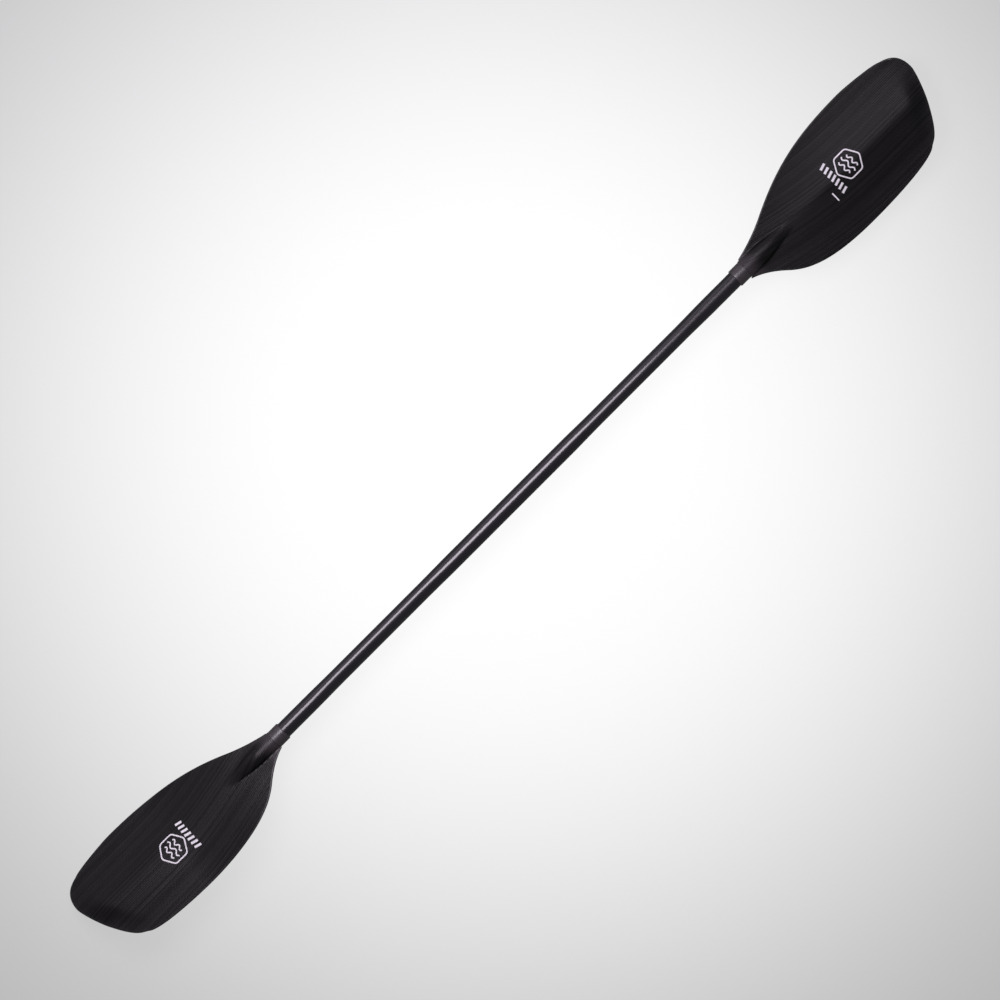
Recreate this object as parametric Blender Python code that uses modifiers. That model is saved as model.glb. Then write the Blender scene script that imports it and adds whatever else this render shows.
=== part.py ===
"""A one-piece whitewater kayak paddle: a wound carbon shaft with an asymmetric foam-core
blade bonded on each end, the left blade turned from the right one by the feather angle.

X runs along the shaft towards the right blade, Y towards the blades' longer edges, and Z out
of the right blade's power face. The floor is z = 0. Each blade is drawn in its own frame:
x from the neck towards the tip, y towards the longer edge and z out of the power face, with
the shaft's axis on y = z = 0. The left blade is the same drawing mirrored along x.
"""
import math

import bmesh
import bpy
from mathutils import Vector

# Whole paddle
PADDLE_LENGTH = 1.970
FEATHER = math.radians(30)
CLEARANCE = 0.0003  # between pieces that touch

# Shaft
SHAFT_DIAMETER = 0.0285
SHAFT_WALL = 0.0018
GRIP_NARROW = 0.0267  # oval hand zones, across the blade's plane and square to it
GRIP_DEEP = 0.0304
GRIP_CENTRE = 0.300  # from the paddle's middle
GRIP_LENGTH = 0.190
GRIP_FADE = 0.075  # where the oval runs out into the round shaft
SCARF_START = 0.050  # the shaft's end is cut on a slant inside the blade
SCARF_END = 0.095

# Blade outline: x, y, heading in degrees, and the curve's reach before and after each knot,
# in millimetres on a sheet of DRAWN_LENGTH by DRAWN_WIDTH, from neck round the tip to neck
BLADE_LENGTH = 0.4566
BLADE_WIDTH = 0.190
DRAWN_LENGTH = 456.6
DRAWN_WIDTH = 190.0
OUTLINE = [
    (0, -15.9, 0, 10, 20),
    (73, -52.3, -43, 38, 34),
    (244, -96.4, 0, 108, 49),
    (389, -78.6, 39, 22, 13),
    (436, -20.0, 63, 61, 19),
    (456.6, 41.3, 90, 10, 37),
    (420, 85.6, 159, 12, 15),
    (337, 96.1, 180, 13, 107),
    (98, 44.4, 206, 78, 48),
    (0, 15.4, 180, 12, 10),
]
OUTLINE_STEPS = 60  # points drawn between two knots
LOWER_CORNER = math.radians(50)  # heading where the lower side turns into the tip
UPPER_CORNER = math.radians(135)

# Blade section
EDGE = 0.0036  # diameter of the edge cord, and the blade's thickness beside it
SKIN = 0.0010
GLUE_LINE = 0.00045
BOND = 0.0004  # film of adhesive between the skins and what they enclose
EDGE_DROP = 0.013  # how far the blade lies behind the shaft's axis
EDGE_DROP_START = 0.080
EDGE_DROP_END = 0.270
RIDGE_RISE = 0.0075  # height of the power face's ridge over its edges
RIDGE_START = 0.050
RIDGE_END = 0.300
RIDGE_ROUND = 0.007
RIDGE_CURVE = 1.7  # above 1 the slopes beside the ridge are hollow
TIP_THINNING = 0.040  # the ridge runs out over this length at the tip
RIB_TIP_WIDTH = 0.016  # width that the shaft's half round narrows to
FRONT_RIB_START = 0.056  # where the half round over the shaft starts to sink into each face
FRONT_RIB_END = 0.132
BACK_RIB_START = 0.100
BACK_RIB_END = 0.270

# Neck pieces
COLLAR_LENGTH = 0.022
BUNG_START = 0.008
BUNG_LENGTH = 0.034

# Inner pieces of the blade
CORE_START = 0.068
CORE_MARGIN = 0.0007  # resin bead between the foam and the edge cord
SPAR_START = FRONT_RIB_END + 0.002
SPAR_SHARE = 0.70  # of the back rib's width
INSERT_SHARE = 0.90  # of the way from neck to tip where the solid tip insert begins

SHAFT_RADIUS = SHAFT_DIAMETER / 2
GLUE_RADIUS = SHAFT_RADIUS + CLEARANCE
SOCKET_RADIUS = GLUE_RADIUS + GLUE_LINE + CLEARANCE
NECK_RADIUS = SOCKET_RADIUS + SKIN
NECK = PADDLE_LENGTH / 2 - BLADE_LENGTH  # from the paddle's middle to a blade's neck
SKIN_START = COLLAR_LENGTH + CLEARANCE
RIM = EDGE + CLEARANCE  # width that the edge cord takes round the blade
LEAST_FLANGE = 0.0008
CORE_SHARE = (CORE_START - SKIN_START) / (BLADE_LENGTH - SKIN_START)

SHAFT_SIDES = 28
TURNED_SIDES = 32
BLADE_ROWS = 22
FLANGE_COLUMNS = 4
RIB_COLUMNS = 12
SPAR_COLUMNS = 8


def clear_scene():
    for item in list(bpy.data.objects):
        bpy.data.objects.remove(item, do_unlink=True)


def spaced(start, end, count):
    return [start + (end - start) * i / (count - 1) for i in range(count)]


def ease(value, start, end):
    """0 before start, 1 after end, and a smooth step between."""
    share = min(max((value - start) / (end - start), 0.0), 1.0)
    return share * share * (3 - 2 * share)


def mix(a, b, share):
    return a + (b - a) * share


def direction(heading):
    return Vector((math.cos(heading), math.sin(heading)))


# The blade's outline ---------------------------------------------------------------------


class Rim:
    """The blade's outline as a fine line of points, each with the direction into the blade."""

    def __init__(self):
        self.points = []
        self.inward = []
        for start, end in zip(OUTLINE[:-1], OUTLINE[1:]):
            self.draw(start, end)
        tip = self.points.index(max(self.points, key=lambda point: point.x))
        lower = [i for i in range(tip) if -self.inward[i].x > math.sin(LOWER_CORNER)]
        upper = [i for i in range(tip, len(self.points))
                 if self.inward[i].y < math.cos(UPPER_CORNER)]
        self.corner = {-1: lower[0], 1: upper[0]}

    def draw(self, start, end):
        """Add the curve from one knot to the next, stretched to the blade's size."""
        x0, y0, heading0, _, reach0 = start
        x3, y3, heading3, reach3, _ = end
        p0, p3 = Vector((x0, y0)), Vector((x3, y3))
        p1 = p0 + reach0 * direction(math.radians(heading0))
        p2 = p3 - reach3 * direction(math.radians(heading3))
        stretch = Vector((BLADE_LENGTH / DRAWN_LENGTH, BLADE_WIDTH / DRAWN_WIDTH))
        for step in range(OUTLINE_STEPS):
            t = step / OUTLINE_STEPS
            s = 1 - t
            point = p0 * s**3 + p1 * (3 * s * s * t) + p2 * (3 * s * t * t) + p3 * t**3
            run = (p1 - p0) * (s * s) + (p2 - p1) * (2 * s * t) + (p3 - p2) * (t * t)
            self.points.append(point * stretch)
            self.inward.append((run * stretch).orthogonal().normalized())

    def between(self, keys, value):
        """Place along the line, as a point index with a fraction, where the key is reached."""
        for (i, low), (j, high) in zip(keys[:-1], keys[1:]):
            if low <= value <= high and high > low:
                return i + (j - i) * (value - low) / (high - low)
        return keys[0][0] if value < keys[0][1] else keys[-1][0]

    def at_x(self, side, x):
        """Place on the blade's lower or upper side at a distance from the neck."""
        if side < 0:
            run = range(0, self.corner[-1] + 1)
        else:
            run = range(len(self.points) - 1, self.corner[1] - 1, -1)
        return self.between([(i, self.points[i].x) for i in run], x)

    def at_y(self, y):
        """Place on the blade's tip, between its two corners, at a height across the blade."""
        run = range(self.corner[-1], self.corner[1] + 1)
        return self.between([(i, self.points[i].y) for i in run], y)

    def point(self, place, inset=0.0):
        """The outline's point at a place, moved into the blade by an inset."""
        i = min(int(place), len(self.points) - 2)
        share = place - i
        inward = self.inward[i].lerp(self.inward[i + 1], share).normalized()
        return self.points[i].lerp(self.points[i + 1], share) + inward * inset

    def half_width(self, side, x):
        """How far the blade reaches from the shaft's axis to one side."""
        return abs(self.point(self.at_x(side, x)).y)


RIM_LINE = Rim()


def stations(first=0.0, last=1.0):
    """Shares of the way from neck to tip, close together where the neck flares.

    The rows where the foam starts and ends are always among them.
    """
    shares = [(i / (BLADE_ROWS - 1)) ** 1.35 for i in range(BLADE_ROWS)]
    shares = sorted(shares + [CORE_SHARE, INSERT_SHARE])
    return [first] + [share for share in shares if first < share < last] + [last]


def rim_place(side, share):
    """Place on one side of the outline at a share of the way to its corner."""
    corner = RIM_LINE.corner[side]
    if share == 1:
        return corner
    return RIM_LINE.at_x(side, mix(SKIN_START, RIM_LINE.points[corner].x, share))


# The blade's section ---------------------------------------------------------------------


def middle_height(x):
    """Height of the blade's edge line."""
    return -EDGE_DROP * ease(x, EDGE_DROP_START, EDGE_DROP_END)


def half_edge(x):
    """Half the blade's thickness at its edge, thinner where the two skins close at the neck."""
    closed = SKIN + CLEARANCE / 2
    return mix(closed, EDGE / 2, ease(x, SKIN_START, RIDGE_START))


def rib_half_width(x, start, end):
    """Half the width of the half round that covers the shaft, on one face."""
    return mix(NECK_RADIUS, RIB_TIP_WIDTH / 2, ease(x, start, end))


def rib(x, y, height, start, end):
    """Height of that half round over the face, which sinks from the neck's full radius."""
    half = rib_half_width(x, start, end)
    if abs(y) >= half:
        return 0.0
    return height * math.sqrt(1 - (y / half) ** 2)


def ridge(x, y):
    """Height of the power face's long ridge over the edges."""
    side = 1 if y > 0 else -1
    reach = RIM_LINE.half_width(side, x)
    off_centre = math.sqrt(y * y + RIDGE_ROUND**2) - RIDGE_ROUND
    across = max(1 - off_centre / (reach - RIDGE_ROUND), 0.0)
    to_tip = RIM_LINE.point(RIM_LINE.at_y(y)).x - x
    tip_run = ease(to_tip, -EDGE, TIP_THINNING)
    return RIDGE_RISE * ease(x, RIDGE_START, RIDGE_END) * across**RIDGE_CURVE * tip_run


def power_face(x, y):
    """Height of the power face's outer surface."""
    level = middle_height(x) + half_edge(x) + ridge(x, y)
    full = NECK_RADIUS - half_edge(x)
    sunk = full * (1 - ease(x, FRONT_RIB_START, FRONT_RIB_END))
    return level + rib(x, y, sunk, FRONT_RIB_START, FRONT_RIB_END)


def back_face(x, y):
    """Height of the back face's outer surface. It is one flat plane past the rib."""
    level = middle_height(x) - half_edge(x)
    flat = -EDGE_DROP - EDGE / 2
    crest = mix(-NECK_RADIUS, flat, ease(x, BACK_RIB_START, BACK_RIB_END))
    return level - rib(x, y, max(level - crest, 0.0), BACK_RIB_START, BACK_RIB_END)


def beneath(face, x, y, depth):
    """Height of a surface that lies a depth inside a face, measured square to it."""
    step = 0.0005
    slope_x = (face(x + step, y) - face(x - step, y)) / (2 * step)
    slope_y = (face(x, y + step) - face(x, y - step)) / (2 * step)
    drop = depth * math.sqrt(1 + slope_x**2 + slope_y**2)
    return face(x, y) - drop if face is power_face else face(x, y) + drop


# Plans of the blade's pieces -------------------------------------------------------------


def flange_row(side, share, strip, inset):
    """Points across one half of the blade, from its middle strip to its inset edge.

    The row blends from square across at the neck to the tip's own curve at the corner.
    """
    tip_strip = side * strip(BLADE_LENGTH)
    tip_place = RIM_LINE.at_y(tip_strip)
    tip_inner = RIM_LINE.point(tip_place, inset)
    corner = RIM_LINE.corner[side]
    inner_x = mix(SKIN_START, tip_inner.x, share)
    inner = Vector((inner_x, side * strip(inner_x)))
    outer = RIM_LINE.point(rim_place(side, share), inset)
    if side * outer.y < strip(outer.x) + LEAST_FLANGE:
        outer = Vector((inner_x, side * (strip(inner_x) + LEAST_FLANGE)))
    neck_inner = Vector((SKIN_START, side * strip(SKIN_START)))
    neck_outer = Vector((SKIN_START, side * (strip(SKIN_START) + LEAST_FLANGE)))
    tip_outer = RIM_LINE.point(corner, inset)
    row = []
    for v in spaced(0, 1, FLANGE_COLUMNS + 1):
        tip = RIM_LINE.point(mix(tip_place, corner, v), inset)
        neck = neck_inner.lerp(neck_outer, v)
        ruled = inner.lerp(outer, v)
        ends = neck.lerp(tip, share)
        corners = neck_inner.lerp(neck_outer, v).lerp(tip_inner.lerp(tip_outer, v), share)
        row.append(ruled + ends - corners)
    return row


def strip_row(share, strip, inset):
    """Points across the blade's middle strip, closer together at its two sides."""
    row = []
    for turn in spaced(-math.pi / 2, math.pi / 2, RIB_COLUMNS + 1):
        y_tip = math.sin(turn) * strip(BLADE_LENGTH)
        x = mix(SKIN_START, RIM_LINE.point(RIM_LINE.at_y(y_tip), inset).x, share)
        row.append(Vector((x, math.sin(turn) * strip(x))))
    return row


def blade_rows(strip, inset, first=0.0):
    """Rows of plan points right across the blade, from a share of the way to the tip."""
    rows = []
    for share in stations(first):
        below = flange_row(-1, share, strip, inset)
        above = flange_row(1, share, strip, inset)
        rows.append(below[:0:-1] + strip_row(share, strip, inset) + above[1:])
    return rows


# Mesh and material helpers ---------------------------------------------------------------


def material(name, colour, roughness, metallic=0.0):
    made = bpy.data.materials.new(name)
    made.use_nodes = True
    shader = made.node_tree.nodes["Principled BSDF"]
    shader.inputs["Base Color"].default_value = (*colour, 1)
    shader.inputs["Roughness"].default_value = roughness
    shader.inputs["Metallic"].default_value = metallic
    made.diffuse_color = (*colour, 1)
    return made


def add_object(name, data, finish, collection, parent=None):
    item = bpy.data.objects.new(name, data)
    item.data.materials.append(finish)
    item.parent = parent
    collection.objects.link(item)
    return item


def grid_faces(mesh, grid):
    """Quads over a grid of vertices. They face the side where rows go right, columns up."""
    for row, following in zip(grid[:-1], grid[1:]):
        for i in range(len(row) - 1):
            mesh.faces.new((row[i], following[i], following[i + 1], row[i + 1]))


def sheet_mesh(name, rows, facing_up):
    """An open sheet through rows of points."""
    mesh = bmesh.new()
    grid = [[mesh.verts.new(p) for p in row] for row in rows]
    grid_faces(mesh, grid)
    mesh.normal_update()
    upright = sum(face.normal.z * face.calc_area() for face in mesh.faces) > 0
    if upright != facing_up:
        bmesh.ops.reverse_faces(mesh, faces=mesh.faces)
    data = bpy.data.meshes.new(name)
    mesh.to_mesh(data)
    mesh.free()
    return data


def slab_mesh(name, top, bottom):
    """A closed solid between two sheets that have the same rows and columns."""
    mesh = bmesh.new()
    upper = [[mesh.verts.new(p) for p in row] for row in top]
    lower = [[mesh.verts.new(p) for p in row] for row in bottom]
    grid_faces(mesh, upper)
    grid_faces(mesh, lower)
    grid_faces(mesh, (upper[0], lower[0]))
    grid_faces(mesh, (upper[-1], lower[-1]))
    for end in (0, -1):
        grid_faces(mesh, ([row[end] for row in upper], [row[end] for row in lower]))
    bmesh.ops.recalc_face_normals(mesh, faces=mesh.faces)
    data = bpy.data.meshes.new(name)
    mesh.to_mesh(data)
    mesh.free()
    return data


def thicken(item, thickness):
    """Give an open sheet its wall, on the side away from its faces."""
    wall = item.modifiers.new("wall", "SOLIDIFY")
    wall.thickness = thickness
    wall.offset = -1
    wall.use_even_offset = True


def lift(rows, side, height):
    """Rows of plan points raised to a height, on the blade that points to one side."""
    return [[Vector((side * p.x, p.y, height(p.x, p.y))) for p in row] for row in rows]


# Pieces ----------------------------------------------------------------------------------


def shaft_distances():
    """Distances from the paddle's middle where the shaft's section is drawn."""
    half = GRIP_LENGTH / 2
    marks = [
        (0.0, GRIP_CENTRE - half - GRIP_FADE, 3),
        (GRIP_CENTRE - half - GRIP_FADE, GRIP_CENTRE - half, 5),
        (GRIP_CENTRE - half, GRIP_CENTRE + half, 3),
        (GRIP_CENTRE + half, GRIP_CENTRE + half + GRIP_FADE, 5),
    ]
    distances = [0.0]
    for start, end, count in marks:
        distances += spaced(start, end, count)[1:]
    return distances + [NECK + SCARF_START / 2, NECK + SCARF_END]


def shaft_ring(distance, direction, roll):
    """One ring of the shaft. Near the hands it is an oval set square to its own blade."""
    half = GRIP_LENGTH / 2
    fade = abs(distance - GRIP_CENTRE)
    oval = 1 - ease(fade, half, half + GRIP_FADE)
    narrow = mix(SHAFT_DIAMETER, GRIP_NARROW, oval) / 2
    deep = mix(SHAFT_DIAMETER, GRIP_DEEP, oval) / 2
    ring = []
    for k in range(SHAFT_SIDES):
        turn = 2 * math.pi * k / SHAFT_SIDES
        y, z = math.cos(turn - roll), math.sin(turn - roll)
        radius = narrow * deep / math.sqrt((deep * y) ** 2 + (narrow * z) ** 2)
        reach = distance
        if distance > NECK + SCARF_START:
            reach = NECK + mix(SCARF_END, SCARF_START, (z + 1) / 2)
        ring.append(Vector((direction * reach, radius * math.cos(turn),
                            radius * math.sin(turn))))
    return ring


def make_shaft(collection, frame, finish):
    """The tube, a loft of round and oval rings with slanted ends, open through its bore."""
    left = [shaft_ring(d, -1, -FEATHER) for d in reversed(shaft_distances()[1:])]
    right = [shaft_ring(d, 1, 0.0) for d in shaft_distances()]
    mesh = bmesh.new()
    rings = [[mesh.verts.new(p) for p in ring] for ring in left + right]
    grid_faces(mesh, [ring + ring[:1] for ring in rings])
    bmesh.ops.recalc_face_normals(mesh, faces=mesh.faces)
    data = bpy.data.meshes.new("shaft_tube")
    mesh.to_mesh(data)
    mesh.free()
    data.shade_smooth()
    thicken(add_object("shaft_tube", data, finish, collection, frame), SHAFT_WALL)


def front_strip(x):
    return rib_half_width(x, FRONT_RIB_START, FRONT_RIB_END)


def back_strip(x):
    return rib_half_width(x, BACK_RIB_START, BACK_RIB_END)


def spar_half_width(x):
    return SPAR_SHARE * back_strip(x)


def core_strip(x):
    """Half the width left between the foam halves: the shaft, then the back rib and spar."""
    past_rib = ease(x, BACK_RIB_END - 0.05, BACK_RIB_END)
    return mix(back_strip(x) + SKIN, spar_half_width(x) + CLEARANCE, past_rib)


def make_skins(name, side, frame, collection, finish):
    power = lift(blade_rows(front_strip, RIM), side, power_face)
    back = lift(blade_rows(back_strip, RIM), side, back_face)
    for part, rows, up in (("power_skin", power, True), ("back_skin", back, False)):
        data = sheet_mesh(name + part, rows, up)
        data.shade_smooth()
        thicken(add_object(name + part, data, finish, collection, frame), SKIN)


def make_edge_cord(name, side, frame, collection, finish):
    """The cord bonded round the outline, from one side of the neck round the tip."""
    rows = blade_rows(front_strip, EDGE / 2)
    rim = blade_rows(front_strip, RIM)
    starts = []
    for column in (0, -1):
        seated = [abs(row[column].y) > front_strip(row[column].x) + 1.5 * LEAST_FLANGE
                  for row in rim]
        starts.append(seated.index(True))
    path = [row[0] for row in rows[starts[0]:-1]] + rows[-1]
    path += [row[-1] for row in reversed(rows[starts[1]:-1])]
    curve = bpy.data.curves.new(name + "edge_cord", "CURVE")
    curve.dimensions = "3D"
    curve.bevel_depth = EDGE / 2
    curve.bevel_resolution = 2
    curve.use_fill_caps = True
    spline = curve.splines.new("POLY")
    spline.points.add(len(path) - 1)
    for point, place in zip(spline.points, path):
        point.co = (side * place.x, place.y, middle_height(place.x), 1)
    add_object(name + "edge_cord", curve, finish, collection, frame)


def make_slab(name, rows, side, frame, collection, finish):
    """A piece that fills the room between the two skins over its own plan."""
    depth = SKIN + BOND
    top = lift(rows, side, lambda x, y: beneath(power_face, x, y, depth))
    bottom = lift(rows, side, lambda x, y: beneath(back_face, x, y, depth))
    add_object(name, slab_mesh(name, top, bottom), finish, collection, frame)


def make_cores(name, side, frame, collection, finish):
    """The two foam halves, each between the spar, the edge cord and the tip insert."""
    for part, half in (("core_lower", -1), ("core_upper", 1)):
        rows = []
        for share in stations(CORE_SHARE, INSERT_SHARE):
            rows.append(flange_row(half, share, core_strip, RIM + CORE_MARGIN))
        make_slab(name + part, rows, side, frame, collection, finish)


def make_tip_insert(name, side, frame, collection, finish):
    """The solid block between the skins at the tip, clear of the foam and the spar."""
    first = INSERT_SHARE + 2 * CLEARANCE / BLADE_LENGTH
    rows = blade_rows(core_strip, RIM + CORE_MARGIN, first)
    make_slab(name + "tip_insert", rows, side, frame, collection, finish)


def make_spar(name, side, frame, collection, finish):
    """The tapered stringer along the ridge, from the shaft's end to the tip insert."""
    insert_start = min(p.x for p in strip_row(INSERT_SHARE, core_strip, RIM + CORE_MARGIN))
    tip = RIM_LINE.point(RIM_LINE.at_y(0.0), RIM).x
    first = (SPAR_START - SKIN_START) / (tip - SKIN_START)
    last = (insert_start - CLEARANCE - SKIN_START) / (tip - SKIN_START)
    rows = []
    for share in stations(first, last):
        x = mix(SKIN_START, tip, share)
        half = spar_half_width(x)
        rows.append([Vector((x, y)) for y in spaced(-half, half, SPAR_COLUMNS + 1)])
    make_slab(name + "spine_spar", rows, side, frame, collection, finish)


def make_turned(name, profile, side, frame, collection, finish):
    """A solid of revolution on the shaft's axis, from a closed profile of (x, radius)."""
    mesh = bmesh.new()
    closed = profile[0][1] > 0 and profile[-1][1] > 0
    verts = [mesh.verts.new((radius, 0, x)) for x, radius in profile]
    for a, b in zip(verts[:-1], verts[1:]):
        mesh.edges.new((a, b))
    if closed:
        mesh.edges.new((verts[-1], verts[0]))
    data = bpy.data.meshes.new(name)
    mesh.to_mesh(data)
    mesh.free()
    item = add_object(name, data, finish, collection, frame)
    item.rotation_euler = (0, side * math.pi / 2, 0)
    screw = item.modifiers.new("turn", "SCREW")
    screw.steps = TURNED_SIDES
    screw.render_steps = TURNED_SIDES
    screw.use_merge_vertices = True
    screw.merge_threshold = 0.00001


def make_neck(name, side, frame, collection, finishes):
    """The collar over the shaft, the bond line in the socket and the plug in the bore."""
    chamfer = (NECK_RADIUS - GLUE_RADIUS) / 2
    collar = [
        (COLLAR_LENGTH, GLUE_RADIUS),
        (COLLAR_LENGTH, NECK_RADIUS),
        (chamfer * 2, NECK_RADIUS),
        (0.0, NECK_RADIUS - chamfer),
        (0.0, GLUE_RADIUS),
    ]
    make_turned(name + "neck_collar", collar, side, frame, collection, finishes["collar"])
    glue_end = SCARF_START - 0.001
    glue = [
        (glue_end, GLUE_RADIUS),
        (glue_end, GLUE_RADIUS + GLUE_LINE),
        (SKIN_START, GLUE_RADIUS + GLUE_LINE),
        (SKIN_START, GLUE_RADIUS),
    ]
    make_turned(name + "glue_sleeve", glue, side, frame, collection, finishes["glue"])
    bore = SHAFT_RADIUS - SHAFT_WALL - CLEARANCE
    bung_end = BUNG_START + BUNG_LENGTH
    bung = [
        (bung_end, 0.0),
        (bung_end, bore * 0.9),
        (bung_end - bore * 0.1, bore),
        (BUNG_START + bore * 0.1, bore),
        (BUNG_START, bore * 0.9),
        (BUNG_START, 0.0),
    ]
    make_turned(name + "shaft_bung", bung, side, frame, collection, finishes["foam"])


def make_blade(name, side, frame, collection, finishes):
    make_skins(name, side, frame, collection, finishes["carbon"])
    make_edge_cord(name, side, frame, collection, finishes["cord"])
    make_cores(name, side, frame, collection, finishes["foam"])
    make_tip_insert(name, side, frame, collection, finishes["insert"])
    make_spar(name, side, frame, collection, finishes["spar"])
    make_neck(name, side, frame, collection, finishes)


def axis_height():
    """Height of the shaft's axis when the turned blade's longer edge touches the floor."""
    low = 0.0
    for point in RIM_LINE.points:
        across = max(point.y - EDGE / 2, 0.0)
        drop = across * math.sin(FEATHER) - middle_height(point.x) * math.cos(FEATHER)
        low = max(low, drop + EDGE / 2)
    return low


def make_paddle():
    collection = bpy.data.collections.new("kayak_paddle")
    bpy.context.scene.collection.children.link(collection)
    finishes = {
        "shaft": material("shaft carbon", (0.020, 0.018, 0.024), 0.28),
        "carbon": material("blade carbon", (0.024, 0.022, 0.027), 0.42),
        "cord": material("edge cord resin", (0.014, 0.013, 0.016), 0.45),
        "collar": material("collar grey", (0.060, 0.055, 0.062), 0.55),
        "glue": material("epoxy", (0.45, 0.40, 0.28), 0.35),
        "foam": material("core foam", (0.75, 0.70, 0.60), 0.90),
        "spar": material("spar laminate", (0.030, 0.030, 0.032), 0.50),
        "insert": material("tip laminate", (0.10, 0.09, 0.06), 0.55),
    }
    frames = []
    for name, direction, roll in (("shaft", 0, 0.0), ("right", 1, 0.0), ("left", -1, -FEATHER)):
        frame = bpy.data.objects.new(name + "_frame", None)
        frame.location = (direction * NECK, 0, axis_height())
        frame.rotation_euler = (roll, 0, 0)
        collection.objects.link(frame)
        frames.append(frame)
    make_shaft(collection, frames[0], finishes["shaft"])
    make_blade("right_", 1, frames[1], collection, finishes)
    make_blade("left_", -1, frames[2], collection, finishes)


clear_scene()
make_paddle()
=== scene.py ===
import math

import bpy
import numpy as np
from mathutils import Matrix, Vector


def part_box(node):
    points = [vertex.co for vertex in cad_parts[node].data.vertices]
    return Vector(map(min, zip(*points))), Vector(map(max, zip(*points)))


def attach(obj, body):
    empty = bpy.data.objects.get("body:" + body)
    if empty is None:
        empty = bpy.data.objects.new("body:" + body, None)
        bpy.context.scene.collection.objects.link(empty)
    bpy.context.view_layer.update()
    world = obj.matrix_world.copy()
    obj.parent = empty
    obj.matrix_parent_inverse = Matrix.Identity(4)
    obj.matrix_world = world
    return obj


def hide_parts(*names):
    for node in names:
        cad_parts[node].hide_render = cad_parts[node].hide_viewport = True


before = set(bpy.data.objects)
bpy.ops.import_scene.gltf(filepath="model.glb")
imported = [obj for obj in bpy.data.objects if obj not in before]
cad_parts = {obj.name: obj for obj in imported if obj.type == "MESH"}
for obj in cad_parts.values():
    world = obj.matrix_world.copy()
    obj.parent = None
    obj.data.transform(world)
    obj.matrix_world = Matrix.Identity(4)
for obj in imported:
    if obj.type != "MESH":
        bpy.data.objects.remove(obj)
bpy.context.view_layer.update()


# Shaft ------------------------------------------------------------------------------------
# One tube of wound carbon filament in epoxy, clear coated, with a hand zone near each end
# where it is squeezed to an oval set square to its own blade. Both ends are cut on a slant
# and bonded inside the blades.

SHAFT_DIAMETER = 0.0285
SHAFT_WALL = 0.0018
SHAFT_STATIONS = 300
SHAFT_SIDES = 80
HAND_ZONE = {"narrow": 0.0267, "deep": 0.0304,
             "centre": 0.300, "half length": 0.095, "fade": 0.075}
FEATHER = math.radians(30)
SLANT_START = 0.050  # inside the blade, from its neck
SLANT_LENGTH = 0.045
SLANT_TOP = 0.02  # share of the slant's length that the tube's upper side still has
WINDING_TOWS = 22  # tows side by side round the tube
WINDING_TURN = 18.8  # radians round the tube for each metre along it
WINDING_RELIEF = 0.000012
WINDING_DARK = (0.0050, 0.0042, 0.0070)
WINDING_LIGHT = (0.0130, 0.0110, 0.0170)
RUBBED_ZONE = (0.05, 0.16)  # from a hand zone's centre, where the dulled coat fades
RUBBED_ROUGHNESS = 0.06

low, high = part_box("shaft_tube")
axis = (low.z + high.z) / 2  # height of the shaft's centre line
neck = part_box("right_neck_collar")[0].x  # from the paddle's middle to a blade's neck


def add_node(tree, kind, inputs=(), **settings):
    """Add a node, set it up, and give its inputs a value or a link by name or number."""
    made = tree.nodes.new(kind)
    for key, value in settings.items():
        setattr(made, key, value)
    for key, value in dict(inputs).items():
        if isinstance(value, bpy.types.NodeSocket):
            tree.links.new(value, made.inputs[key])
        else:
            made.inputs[key].default_value = value
    return made


def maths(tree, operation, *values):
    """The result of a Math node in a shader or geometry tree."""
    inputs = dict(enumerate(values))
    kind = "ShaderNodeMath"
    return add_node(tree, kind, inputs, operation=operation).outputs[0]


def smooth_step(tree, value, start, end, before, after):
    """A value that passes smoothly from before to after between start and end."""
    inputs = {"Value": value, "From Min": start, "From Max": end,
              "To Min": before, "To Max": after}
    kind = "ShaderNodeMapRange"
    return add_node(tree, kind, inputs, interpolation_type="SMOOTHSTEP").outputs[0]


def noise(tree, vector, scale, detail=2.0):
    """Noise over a vector, between 0 and 1."""
    inputs = {"Vector": vector, "Scale": scale, "Detail": detail}
    return add_node(tree, "ShaderNodeTexNoise", inputs).outputs[0]


def geometry_tree(name, sizes):
    """A geometry tree with a named input for each size. Returns it and its input sockets."""
    tree = bpy.data.node_groups.new(name, "GeometryNodeTree")
    tree.interface.new_socket("Geometry", in_out="OUTPUT", socket_type="NodeSocketGeometry")
    tree.interface.new_socket("Geometry", in_out="INPUT", socket_type="NodeSocketGeometry")
    for label in sizes:
        tree.interface.new_socket(label, in_out="INPUT", socket_type="NodeSocketFloat")
    entry = tree.nodes.new("NodeGroupInput")
    return tree, {socket.name: socket for socket in entry.outputs if socket.name}


def finish_tree(tree, shape, finish):
    """End a geometry tree in real, smooth faces that carry their finish."""
    real = add_node(tree, "GeometryNodeRealizeInstances", {0: shape})
    smooth = add_node(tree, "GeometryNodeSetShadeSmooth", {0: real.outputs[0]})
    coated = add_node(tree, "GeometryNodeSetMaterial",
                      {0: smooth.outputs[0], "Material": finish})
    leave = tree.nodes.new("NodeGroupOutput")
    tree.links.new(coated.outputs[0], leave.inputs[0])


def grow(piece, tree, sizes):
    """Put a geometry tree on a piece and set its inputs."""
    growth = piece.modifiers.new("growth", "NODES")
    growth.node_group = tree
    for item in tree.interface.items_tree:
        if item.in_out == "INPUT" and item.name in sizes:
            growth[item.identifier] = sizes[item.name]


def settle(piece, sharp=math.radians(40)):
    """Turn a piece and its modifiers into a plain mesh."""
    bpy.context.view_layer.update()
    graph = bpy.context.evaluated_depsgraph_get()
    mesh = bpy.data.meshes.new_from_object(
        piece.evaluated_get(graph), preserve_all_data_layers=True, depsgraph=graph)
    mesh.name = piece.name
    piece.modifiers.clear()
    piece.data = mesh
    mesh.shade_smooth()
    mesh.set_sharp_from_angle(angle=sharp)


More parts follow.
